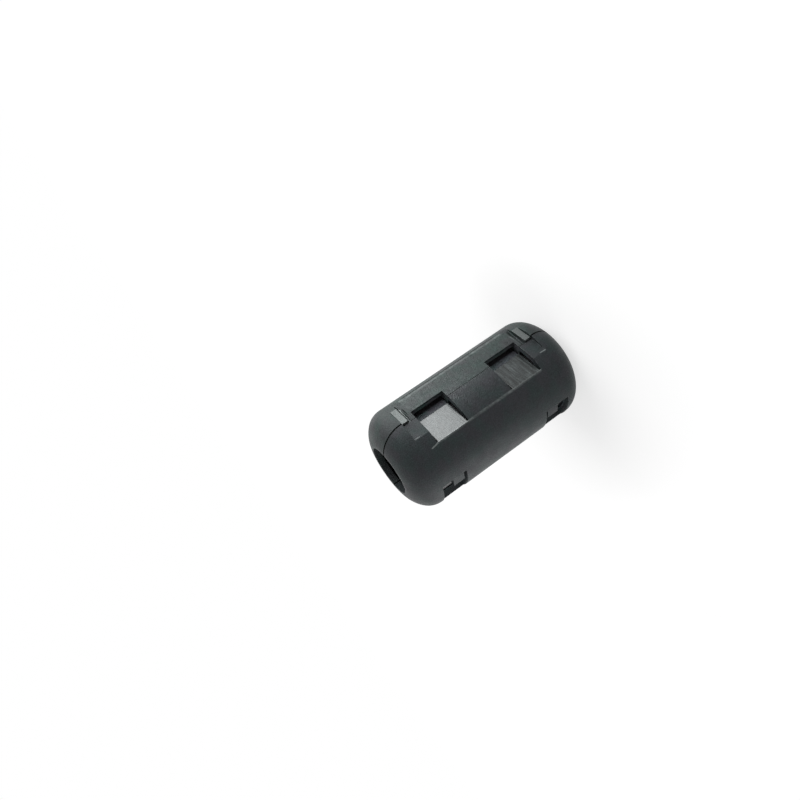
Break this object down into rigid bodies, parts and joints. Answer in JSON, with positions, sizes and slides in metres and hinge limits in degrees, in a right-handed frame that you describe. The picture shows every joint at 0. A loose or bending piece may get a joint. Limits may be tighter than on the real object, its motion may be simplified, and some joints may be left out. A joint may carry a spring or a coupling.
{
  "type": "clip on ferrite bead",
  "caption": "Cylindrical clip-on ferrite bead with a hinged, latched case around a cable bore.",
  "frame": {"origin": "on the cable axis at the lower end face that the bead stands on", "axes": "+Z along the cable axis, -Y toward the latch, +Y toward the hinge, X = 0 the parting plane with half A on +X"},
  "size_m": [0.0196, 0.0191, 0.038],
  "materials": {
    "case_a": "satin moulded nylon",
    "case_b": "satin moulded nylon",
    "ferrite": "satin sintered ferrite"
  },
  "bodies": {
    "half_a": {"case_half_a": "case_a", "core_half_a": "ferrite"},
    "half_b": {"case_half_b": "case_b", "core_half_b": "ferrite"}
  },
  "joints": [
    {"name": "case_hinge", "type": "hinge", "parent": "half_a", "child": "half_b", "pos_m": [0, 0.00815, 0.019], "axis": [0, 0, -1], "range_deg": [0, 110]}
  ]
}
